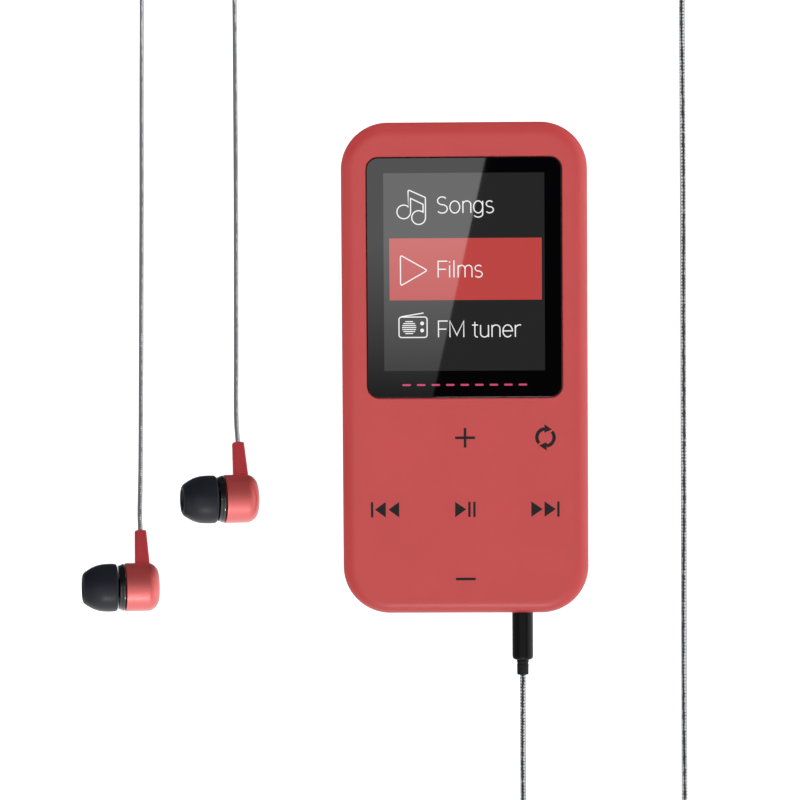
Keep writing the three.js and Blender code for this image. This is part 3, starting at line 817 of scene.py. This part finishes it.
# Each letter is how wide it is and its strokes, where a capital is 1 high.
letters = {
    "S": (0.66, [arc(0.3, 0.76, 0.23, 0.24, 35, 270) + arc(0.3, 0.26, 0.26, 0.26, 90, -145)[1:]]),
    "s": (0.5, [arc(0.22, 0.56, 0.17, 0.18, 35, 270) + arc(0.22, 0.19, 0.19, 0.19, 90, -145)[1:]]),
    "o": (0.62, [bowl()]),
    "n": (0.58, [leg, hump(0.07)]),
    "m": (0.88, [leg, hump(0.07, 0.35), hump(0.42, 0.35)]),
    "u": (0.58, [[(0.07, X_HEIGHT)] + arc(0.27, 0.22, 0.2, 0.22, 180, 360, 10),
                 [(0.47, X_HEIGHT), (0.47, 0)]]),
    "r": (0.4, [leg, arc(0.3, X_HEIGHT - 0.24, 0.23, 0.24, 180, 75, 8)]),
    "g": (0.62, [bowl(0.46), [(0.49, X_HEIGHT)] + arc(0.26, -0.06, 0.23, 0.2, 0, -150, 10)]),
    "e": (0.6, [[(0.04, 0.37), (0.52, 0.37)] + arc(0.28, 0.37, 0.24, 0.37, 8, 318, 24)]),
    "t": (0.36, [[(0.14, 0.93)] + arc(0.28, 0.14, 0.14, 0.14, 180, 275, 6),
                 [(0.0, X_HEIGHT), (0.3, X_HEIGHT)]]),
    "i": (0.22, [[(0.08, X_HEIGHT), (0.08, 0)], [(0.08, 1.0), (0.08, 0.91)]]),
    "l": (0.22, [[(0.08, 1.05), (0.08, 0)]]),
    "F": (0.58, [[(0.08, 0), (0.08, 1), (0.55, 1)], [(0.08, 0.5), (0.48, 0.5)]]),
    "M": (0.9, [[(0.08, 0), (0.08, 1), (0.43, 0.12), (0.78, 1), (0.78, 0)]]),
    " ": (0.3, []),
}


def word(text, x, y, size, heights):
    """A word in plain single-stroke letters."""
    shapes = []
    for letter in text:
        width, strokes = letters[letter]
        for stroke in strokes:
            line = [(x + size * WIDEN * px, y + size * py) for px, py in stroke]
            shapes.append(ribbon(line, STROKE, *heights))
        x += width * size * WIDEN
    return shapes


def song_icon(heights):
    """Two notes joined by a beam, in outline."""
    line = ([(-0.48, -0.06), (-0.48, 2.62)] + arc(-0.3, 2.7, 0.18, 0.18, 160, 60, 4) + [(2.35, 1.7)]
            + arc(2.33, 1.47, 0.23, 0.23, 60, 0, 4) + arc(1.35, -1.91, 1.21, 1.21, 0, -310, 28)
            + [(2.14, -0.98), (2.14, 0.42), (-0.06, 1.46)] + arc(-1.26, -0.9, 1.2, 1.2, 0, -310, 28))
    return [ribbon(line, STROKE, *heights, closed=True)]


def play_icon(heights):
    """A triangle that points right, with round corners."""
    corners = [(-2.3, -2.7), (2.45, 0), (-2.3, 2.7)]
    line = rounded([corners[-1], *corners, corners[0]], 0.45, 5)[1:-1]
    return [ribbon(line, STROKE, *heights, closed=True)]


def radio_icon(heights):
    """A small radio: its case, aerial, slatted speaker and two knobs."""
    speaker, speaker_x, slat_pitch = 1.25, -0.68, 0.35
    case = flat(round_rectangle(4.95, 3.6, 0.45, steps=4))
    shapes = [ribbon(case, STROKE, *heights, closed=True)]
    shapes.append(ribbon([(-2.1, 1.85), (1.85, 2.5)], STROKE, *heights))
    for k in range(-3, 4):
        reach = math.sqrt(speaker ** 2 - (slat_pitch * k) ** 2)
        y = slat_pitch * k - 0.05
        shapes.append(ribbon([(speaker_x - reach, y), (speaker_x + reach, y)], 0.17, *heights))
    return shapes + [prism(arc(1.6, y, 0.33, 0.33, 0, 345, 23), *heights) for y in (0.67, -0.58)]


def make_screen():
    width, length, corner = PANE_SIZE
    pane = tablet(width, length, corner, pane_low.z, pane_high.z, edge=0.15, y=PANE_Y, steps=16)
    put("screen_glass", pane, glass_finish, "screen_window")
    for number, name, look, code, (width, height, y, x, corner) in (
            (1, "screen_picture", "picture_dark", "262626", PICTURE),
            (2, "screen_bar", "picture_bar", "be4644", BAR)):
        shape = tablet(width, height, corner, *picture_layer(number), x=x, y=y)
        put(name, shape, lit_finish(look, code, 1.0, gloss=1.66))
    heights = picture_layer(3)
    icons = ((song_icon, -9.3, 28.6), (play_icon, -8.9, 17.4), (radio_icon, -9.05, 7.4))
    signs = [placed(part, x, y) for icon, x, y in icons for part in icon(heights)]
    for text, baseline in rows_y.items():
        signs += word(text, TEXT_X, baseline, CAP, heights)
    put("screen_signs", merged(*signs), lit_finish("picture_white", "f4f4f4", 1.0))
    pitch, y = 2.56, -2.8
    dashes = [tablet(1.5, 0.34, 0.16, *picture_layer(1), x=pitch * k, y=y) for k in range(-4, 5)]
    put("window_dashes", merged(*dashes), lit_finish("picture_pink", "d8527a", 0.9))


# ---- touch marks
MARK_HEIGHTS = (FACE - 0.004, FACE + 0.006)
COLUMN_X = 14.17  # the side columns of touch keys
ROW_Y = (-12.14, -24.82, -37.16)  # their three rows
LINE, LINE_LENGTH = 0.47, 3.5  # of the plus and the minus


def arrow():
    """Half of the repeat sign: most of a half circle, with an arrow head at its clockwise end."""
    return merged(ribbon(arc(0, 0, 1.52, 1.52, 98, 222, 20), 0.6, *MARK_HEIGHTS),
                  prism([(-0.2, 0.82), (1.15, 1.4), (-0.2, 2.33)], *MARK_HEIGHTS))


def triangle(x, y, way, width=1.9):
    height = 2.75
    return prism([(x, y - height / 2), (x + way * width, y), (x, y + height / 2)], *MARK_HEIGHTS)


def bar(x, y, width=0.42, height=2.7):
    return ribbon([(x, y - height / 2), (x, y + height / 2)], width, *MARK_HEIGHTS)


def make_marks():
    top, middle, low = ROW_Y
    half = 1.5  # how far the plus reaches above and below its level line
    plus = [bar(0, top, LINE_LENGTH, LINE)]
    plus += [bar(0, top + side * (LINE + half) / 2, LINE, half) for side in (1, -1)]
    repeat = [placed(arrow(), COLUMN_X, top, degrees=turn) for turn in (0, 180)]
    previous = [bar(-COLUMN_X - 2.32, middle), triangle(-COLUMN_X + 0.1, middle, -1),
                triangle(-COLUMN_X + 2.47, middle, -1)]
    play = [triangle(-1.82, middle, 1, 1.95), bar(0.7, middle), bar(1.58, middle)]
    after = [triangle(COLUMN_X - 2.55, middle, 1, 2.0), triangle(COLUMN_X - 0.22, middle, 1, 2.0),
             bar(COLUMN_X + 2.22, middle)]
    shapes = plus + repeat + previous + play + after + [bar(0, low, LINE_LENGTH, LINE)]
    put("touch_marks", merged(*shapes), mark_finish)


make_screen()
make_marks()

# ---- sockets and switch
JACK_FRONT, JACK_BACK = -41.9, -28.2  # the ends of the jack's block
JACK_HALF = (3.1, 2.1)  # half its width and half its height
NOSE_FRONT = -BODY_LENGTH / 2 + GAP


def make_audio_jack():
    block = tablet(2 * JACK_HALF[0], JACK_BACK - JACK_FRONT, 0.4, PORT_Z - JACK_HALF[1],
                   PORT_Z + JACK_HALF[1], edge=0.2, x=JACK_X, y=(JACK_FRONT + JACK_BACK) / 2)
    nose_profile = rounded([(0, 0), (NOSE_RADIUS, 0), (NOSE_RADIUS, 2.2), (0, 2.2)], 0.2)
    nose = along_y(turned(nose_profile), JACK_X, NOSE_FRONT, PORT_Z)
    bore = along_y(rod(BORE_RADIUS, 0, 14.8, 48), JACK_X, -BODY_LENGTH / 2 - 0.3, PORT_Z)
    mouth_profile = [(0, -0.5), (BORE_RADIUS + 0.6, -0.5), (BORE_RADIUS + 0.2, 0),
                     (BORE_RADIUS - 0.05, 0.25), (0, 0.25)]
    mouth = along_y(turned(mouth_profile), JACK_X, NOSE_FRONT, PORT_Z)
    put("jack_body", carved(block, [nose], [bore, mouth]), port_finish, "audio_jack")


def make_usb_socket():
    """A pressed steel shell with a rolled lip, and a tongue with five contacts."""
    low, high = mm_box("usb_socket")
    depth = high.y - low.y
    outer = [(0.09, 0), (0.02, 0.04), (0, 0.12), (0, depth - 0.15), (0.15, depth)]
    inner = [(0.05, -0.5), (0.13, 0), (0.25, 0.1), (0.3, 0.22), (0.3, depth - 0.3)]
    shell = carved(stack(USB_WIDTH, USB_HEIGHT, 0.7, outer, steps=6),
                   cuts=[stack(USB_WIDTH, USB_HEIGHT, 0.75, inner, steps=6)])
    put("usb_shell", along_y(shell, USB_X, low.y, PORT_Z), steel_finish, "usb_socket")
    low, high = mm_box("usb_tongue")
    middle_y, size = (low.y + high.y) / 2, high - low
    tongue = tablet(size.x, size.y, 0.25, low.z, high.z, edge=0.1, x=USB_X, y=middle_y, steps=3)
    put("usb_tongue_fine", tongue, port_finish, "usb_tongue")
    pitch, stand = 0.65, 0.05  # the contacts stand out of the tongue
    pins = [tablet(0.34, size.y - 0.6, 0.05, low.z - stand, low.z + stand, x=USB_X + pitch * k, y=middle_y)
            for k in range(-2, 3)]
    put("usb_contacts", merged(*pins), gold_finish)


def make_power_switch():
    """The sliding knob: a round-ended cap with grip ribs across it, on its stem."""
    low, high = mm_box("power_switch_knob")
    mid, size = (low + high) / 2, high - low
    cap_depth, stem_width, lap = 1.35, 1.8, 0.3
    block = tablet(size.z, size.y, 0.5, -cap_depth, -0.28, edge=0.12, steps=6)
    pitch = 0.62
    ribs = [tablet(size.z - 0.5, 0.28, 0.12, -0.5, 0, edge=0.1, y=pitch * k, steps=3)
            for k in range(-2, 3)]
    rim = carved(tablet(size.z, size.y, 0.5, -0.6, -0.12, edge=0.1, steps=6),
                 cuts=[tablet(size.z - 0.36, size.y - 0.36, 0.35, -0.35, 0.3, steps=6)])
    cap = placed(from_side(merged(block, rim, *ribs), 1, mid.y, mid.z), high.x - BODY_WIDTH / 2)
    stem_end = high.x - cap_depth + lap
    stem = tablet(stem_end - low.x, stem_width, 0.2, POWER_Z - 0.6, POWER_Z + 0.1,
                  x=(stem_end + low.x) / 2, y=mid.y)
    put("power_knob", merged(cap, stem), case_finish, "power_switch_knob", "power_switch")


make_audio_jack()
make_usb_socket()
make_power_switch()

# ---- the plug
SHOULDER = -BODY_LENGTH / 2 - 0.05  # where the barrel meets the jack
BARREL_RADIUS, BARREL_END = 1.86, -8.6


def plug_piece(name, profile, finish):
    """Turned about the pin's axis. Heights run into the player from the pin's shoulder."""
    shape = along_y(turned(profile, 56), JACK_X, SHOULDER, PORT_Z)
    return put(f"plug_{name}_fine", shape, finish, f"plug_{name}", "earphones")


def make_plug():
    pieces = []
    contact, insulator = (1.75, gold_finish, "gold_contact"), (1.71, gloss_finish, "black_gloss")
    for name, low, high, (radius, finish, slot) in (
            ("sleeve_contact", 0.04, 7.6, contact), ("insulator_1", 7.64, 8.1, insulator),
            ("ring_contact", 8.14, 10.3, contact), ("insulator_2", 10.34, 10.8, insulator)):
        ring = rounded([(0, low), (radius, low), (radius, high), (0, high)], 0.05)
        pieces.append(plug_piece(name, ring, finish))
    tip = [(0, 10.84), (1.45, 10.84), (1.2, 11.6), (1.42, 12.05), (1.7, 12.4), (1.5, 12.95), (1.2, 13.6),
           (0.5, 14), (0, 14)]
    pieces.append(plug_piece("tip_contact", rounded(tip, 0.3), gold_finish))
    barrel = rounded([(0, 0), (BARREL_RADIUS, 0), (BARREL_RADIUS, BARREL_END / 2)], 0.06)[:-1]
    barrel += rounded([(BARREL_RADIUS, BARREL_END / 2), (BARREL_RADIUS, BARREL_END), (0, BARREL_END)],
                      0.7, 6)[1:]
    pieces.append(plug_piece("barrel", barrel, barrel_finish))
    # The strain relief has one groove round it. Its depths are below the barrel's end.
    profile = [(0, 0.05), (1.07, 0.05), (1.05, 0.5), (0.97, 0.58), (0.97, 0.71), (1.04, 0.79),
               (1.02, 2.65), (0, 2.65)]
    strain_relief = rounded([(radius, BARREL_END - depth) for radius, depth in profile], 0.06)
    pieces.append(plug_piece("strain_relief", strain_relief, matte_finish))
    return pieces


plug_pieces = make_plug()

# ---- splitter and coil ties
def make_splitter():
    """A flat moulded block that widens from the one cord to the two."""
    low, high = mm_box("cord_splitter")
    middle, length, half = (low + high) / 2, high.x - low.x, (high.z - low.z) / 2
    loops = []
    for along, wide, tall in ((0, 0.62, 0.6), (0.015, 0.8, 0.8), (0.05, 0.9, 0.9), (0.25, 1.0, 0.97),
                              (0.45, 1.3, 1), (0.62, 1.9, 1), (0.95, 1.9, 0.97), (0.985, 1.75, 0.85),
                              (1, 1.5, 0.62)):
        section = round_rectangle(2 * wide, 2 * half * tall, 0.55 * half * tall, steps=5)
        loops.append([(high.x - along * length, middle.y + y, middle.z + z) for y, z in flat(section)])
    return put("splitter_fine", loft(loops), matte_finish, "cord_splitter", "earphones", 40)


def coil_reach(coil, angle):
    """The nearest and farthest that a coil's turns pass from its centre, near an angle, in millimetres."""
    way = math.radians(angle)
    reaches = []
    for x, y, _ in coil_points(coil, 0):
        x, y = (x - coil["x"]) / MM, (y - coil["y"]) / MM
        if x * math.cos(way) + y * math.sin(way) > 0.97 * math.hypot(x, y):
            reaches.append(math.hypot(x, y))
    return min(reaches), max(reaches)


def make_tie(side, angle):
    """A woven strap round one coil, whose end laps over itself."""
    coil, radius = coils[side], cords[side]["radius"] / MM
    thick, width, slack = 0.35, 2.4, 0.08
    first, last = coil_reach(coil, angle)
    near, far = first - radius - slack, last + radius + slack
    under, over = COIL_LIFT / MM - 0.3, COIL_LIFT / MM + 4 * radius + slack
    middle, rise = (near + far) / 2, (under + over) / 2
    loops = []
    for grow, half in ((0, 0.5), (0, -0.5), (thick, -0.5), (thick, 0.5)):
        section = round_rectangle(far - near + 2 * grow, over - under + 2 * grow, 0.45 + grow, steps=6)
        loops.append([(middle + x, half * width, rise + z) for x, z in flat(section)])
    top = over + thick
    lap = tablet(far - near - 1.6, width - 0.3, 0.3, top - 0.05, top, x=middle + 0.2)
    shape = placed(merged(loft(loops, closed=True), lap), coil["x"] / MM, coil["y"] / MM, degrees=angle)
    return put(f"{side}_tie_fine", shape, strap, f"{side}_coil_tie", "earphones", edge=0.07)


splitter = make_splitter()
ties = {side: make_tie(side, angle) for side, angle in (("main", 45), ("left", -45), ("right", -45))}

# ---- earphones
BUD_RADIUS, BACK_ROUND, HOUSING_END = 4.3, 2.1, 6.0  # BACK_ROUND is the radius of its back edge
STEM_AT, STEM_END = 2.85, 10.2  # how far up the housing it sits, and how far from its axis it ends

# Where the back of each housing is, how far it tilts up from level, and its turn about its own axis.
earphones = {
    "left": dict(back=(-54.9, -38.87, 3.9), tilt=11, roll=17),
    "right": dict(back=(-37.15, -23.15, 3.78), tilt=14, roll=17),
}


def spline_profile(points):
    """A smooth profile through the given points."""
    line = smooth_line([(x, y, 0.0) for x, y in points], 0.12)
    return [(float(x), float(y)) for x, y, _ in line]


def housing_shape():
    back = arc(BUD_RADIUS - BACK_ROUND, BACK_ROUND, BACK_ROUND, BACK_ROUND, -90, 0, 14)
    front = [(BUD_RADIUS, HOUSING_END - 0.18), (BUD_RADIUS - 0.05, HOUSING_END - 0.05),
             (BUD_RADIUS - 0.16, HOUSING_END), (3.6, HOUSING_END), (3.6, BACK_ROUND), (0, BACK_ROUND)]
    return turned([(0, 0)] + back + front, 72)


def stem_shape():
    """A flat-sided stem that narrows towards the cord, with its root laid on the round housing."""
    loops = []
    end_round = 0.965  # where its end starts to round off
    for t in (0, 0.15, 0.3, 0.45, 0.6, 0.75, 0.9, end_round, 0.98, 0.992, 1):
        half_wide = 1.22 + (1.02 - 1.22) * t
        half_deep = 1.28 + (1.02 - 1.28) * t
        lean = 0.1 * (1 - t)
        pull = 0.16 * (1 - math.sqrt(1 - max(0.0, (t - end_round) / (1 - end_round)) ** 2))
        loop = []
        for x, z in flat(round_rectangle(2 * (half_wide - pull), 2 * (half_deep - pull), 0.62, steps=6)):
            root = math.sqrt(BUD_RADIUS ** 2 - x ** 2) - 0.04
            loop.append((x, root + (STEM_END - root) * t, STEM_AT + z - lean))
        loops.append(loop)
    return loft(loops)


def nozzle_shape():
    start = HOUSING_END + 0.2
    outer = rounded([(1.0, start), (4.2, start), (4.15, 6.55), (3.98, 6.8), (3.88, 7.2), (1.5, 7.2),
                     (1.5, 8.3), (1.62, 8.45), (1.62, 8.8), (1.5, 8.95), (1.5, 12.25), (1.0, 12.25)], 0.09, 3)
    return turned(outer, 64)


def tip_shape():
    bore = [(1.75, 8.05), (1.75, 10.5), (1.75, 12.75), (1.82, 13.2), (2.05, 13.5)]
    skirt = [(2.3, 13.54), (2.75, 13.27), (3.12, 12.78), (3.73, 11.7), (4.1, 10.6), (4.24, 9.5), (4.26, 8.3),
             (4.2, 7.72)]
    lining = [(4.03, 7.48), (3.84, 7.56), (3.86, 8.6), (3.7, 10.4), (3.2, 11.4), (2.75, 11.6), (2.6, 11.2),
              (2.6, 9.7), (2.55, 8.2), (2.4, 8.03), (2.0, 8.0), (1.8, 8.02)]
    return turned(spline_profile(bore + skirt + lining + [(1.75, 8.05)])[:-1], 72)


def make_earphone(side, back, tilt, roll):
    """The pieces of one earphone, each drawn up Z from the back of its housing."""
    screen = rounded([(0, 12.45), (1.4, 12.45), (1.4, 12.57), (0, 12.6)], 0.05)
    driver = rounded([(0, 3.2), (3.4, 3.2), (3.4, 4.6), (3.1, 4.6), (3.0, 5.0), (1.6, 5.2), (0, 5.0)], 0.12)
    pieces = []
    for name, shape, finish, slot, body, crease in (
            ("stem", stem_shape(), stem_finish, "stem_coral", "earphones", 50),
            ("housing", housing_shape(), bud_finish, "bud_coral", "earphones", 34),
            ("nozzle", nozzle_shape(), gloss_finish, "black_gloss", "earphones", 34),
            ("nozzle_mesh", turned(screen, 40), wire_mesh, "steel", "earphones", 34),
            ("driver", turned(driver, 48), steel_finish, "steel", "earphones", 34),
            ("ear_tip", tip_shape(), silicone_finish, "silicone_black", f"{side}_tip", 60)):
        shape = placed(placed(shape, degrees=roll), *back, tilt - 90, "Y")
        pieces.append(put(f"{side}_{name}_fine", shape, finish, f"{side}_{name}", body, crease))
    return pieces


bud_pieces = {side: make_earphone(side, **pose) for side, pose in earphones.items()}


# ---- finishes of the CAD's own inner pieces
inner_finishes = {
    "window_adhesive": tape_finish, "lcd_backlight": white_finish, "lcd_panel": panel_finish,
    "lcd_flex": film_finish, "main_board": board_finish, "touch_key_board": board_finish,
    "battery": foil_finish, "battery_tape": tape_finish, "processor": chip_finish,
    "memory_chip": chip_finish, "crystal": steel_finish, "microphone": steel_finish,
    "card_reader": steel_finish, "power_switch_body": steel_finish,
}
for name, finish in inner_finishes.items():
    nodes[name].data.materials.clear()
    nodes[name].data.materials.append(finish)


# ---- studio
def hide_from(obj, *rays):
    for ray in rays:
        setattr(obj, f"visible_{ray}", False)


def area_light(name, place, size, power, hidden, aim=(0, 0, 0)):
    """A rectangle of light, hidden from the camera and from one more kind of ray."""
    data = bpy.data.lights.new(name, "AREA")
    data.shape, data.size, data.size_y, data.energy = "RECTANGLE", *size, power
    light = bpy.data.objects.new(name, data)
    light.location = place
    light.rotation_euler = (Vector(aim) - Vector(place)).to_track_quat("-Z", "Y").to_euler()
    hide_from(light, "camera", hidden)
    scene.collection.objects.link(light)


def stage_mesh(name, corners, faces, finish, *hidden_from):
    obj = mesh_object(name, corners, faces, finish)
    hide_from(obj, *hidden_from)


def glowing(name, grey, roughness):
    material, tree, shader = blank(name, [grey] * 3)
    feed(tree, shader, {"Roughness": roughness, "Emission Color": (1, 1, 1, 1), "Emission Strength": 0.85})
    return material


def make_floor():
    """A white floor. Gloss looks past it, so that the undersides of round pieces keep their shading."""
    half, drop = 3.0, -0.00002
    corners = [(-half, -half, drop), (half, -half, drop), (half, half, drop), (-half, half, drop)]
    stage_mesh("floor", corners, [[0, 1, 2, 3]], glowing("pale_floor", 0.5, 0.9), "glossy")


def make_backdrop():
    """A pale wall all round, far off, which only the camera sees."""
    away, height, sides = 2.9, 4.0, 48
    corners = circle(away, 0.0, sides) + circle(away, height, sides)
    walls = [[k, (k + 1) % sides, (k + 1) % sides + sides, k + sides] for k in range(sides)]
    stage_mesh("backdrop", corners, walls, glowing("pale_backdrop", 0.8, 0.5), "diffuse", "glossy", "shadow")


def make_card():
    """A slanted bright card high overhead, which the screen's glass mirrors. Only gloss sees it."""
    material, tree, shader = blank("card_light", [0.8] * 3)
    along = node(tree, "SeparateXYZ", {0: node(tree, "TexCoord").outputs["Object"]}).outputs[1]
    glow = node(tree, "Emission", {"Strength": between(tree, along, 0.2, 2.1, -0.07, 0.0)})
    feed(tree, tree.nodes["Material Output"], {"Surface": glow.outputs[0]})
    tree.nodes.remove(shader)
    height, left, near, far = 1.0, -0.4, -0.11, 0.08
    right_near, right_far = -0.0367, 0.0063  # its slanted edge
    corners = [(left, near, height), (right_near, near, height), (right_far, far, height),
               (left, far, height)]
    stage_mesh("card", corners, [[0, 1, 2, 3]], material, "camera", "diffuse", "shadow")


def make_world():
    """Bright towards -Y and low towards +X, dim elsewhere, with a dark patch straight overhead."""
    scene.world = bpy.data.worlds.new("world")
    scene.world.use_nodes = True
    tree = scene.world.node_tree
    reckon = partial(reckoned, tree)
    x, y, z = node(tree, "SeparateXYZ", {0: node(tree, "TexCoord").outputs["Generated"]}).outputs
    falloff, brightest, dimmest = 1.25, 1.15, 0.05
    near = reckon("POWER", between(tree, y, 1.0, 0.0, -0.45, 0.55), falloff)
    near = reckon("MULTIPLY_ADD", near, brightest, dimmest)
    near = reckon("MULTIPLY", near, between(tree, reckon("ABSOLUTE", x), 1.0, 0.4, 0.3, 0.7))
    low = between(tree, z, 0.55, 0.03, 0.2, 0.8)
    right = reckon("MULTIPLY", between(tree, x, 0.0, 2.0, 0.4, 0.9), low)
    patch = between(tree, z, 1.0, 0.02, 0.988, 0.996)
    strength = reckon("MULTIPLY", reckon("ADD", near, right), patch)
    feed(tree, tree.nodes["Background"], {"Color": (1, 1, 1, 1), "Strength": strength})


scene.view_settings.view_transform = "Standard"
make_world()
make_floor()
make_backdrop()
make_card()
area_light("overhead", (0, 0.25, 1.4), (1.6, 1.6), 12.6, "glossy")
area_light("right_side", (0.9, 0.1, 0.25), (0.3, 1.2), 4.5, "glossy")
area_light("left_side", (-0.9, 0.1, 0.4), (0.3, 1.2), 3.2, "glossy")
area_light("far_side", (0, 1.0, 0.35), (1.2, 0.4), 3.5, "glossy")
area_light("sparkle", (0.03, -0.75, 0.62), (0.11, 0.08), 1.4, "diffuse", aim=(0, -0.04, 0))
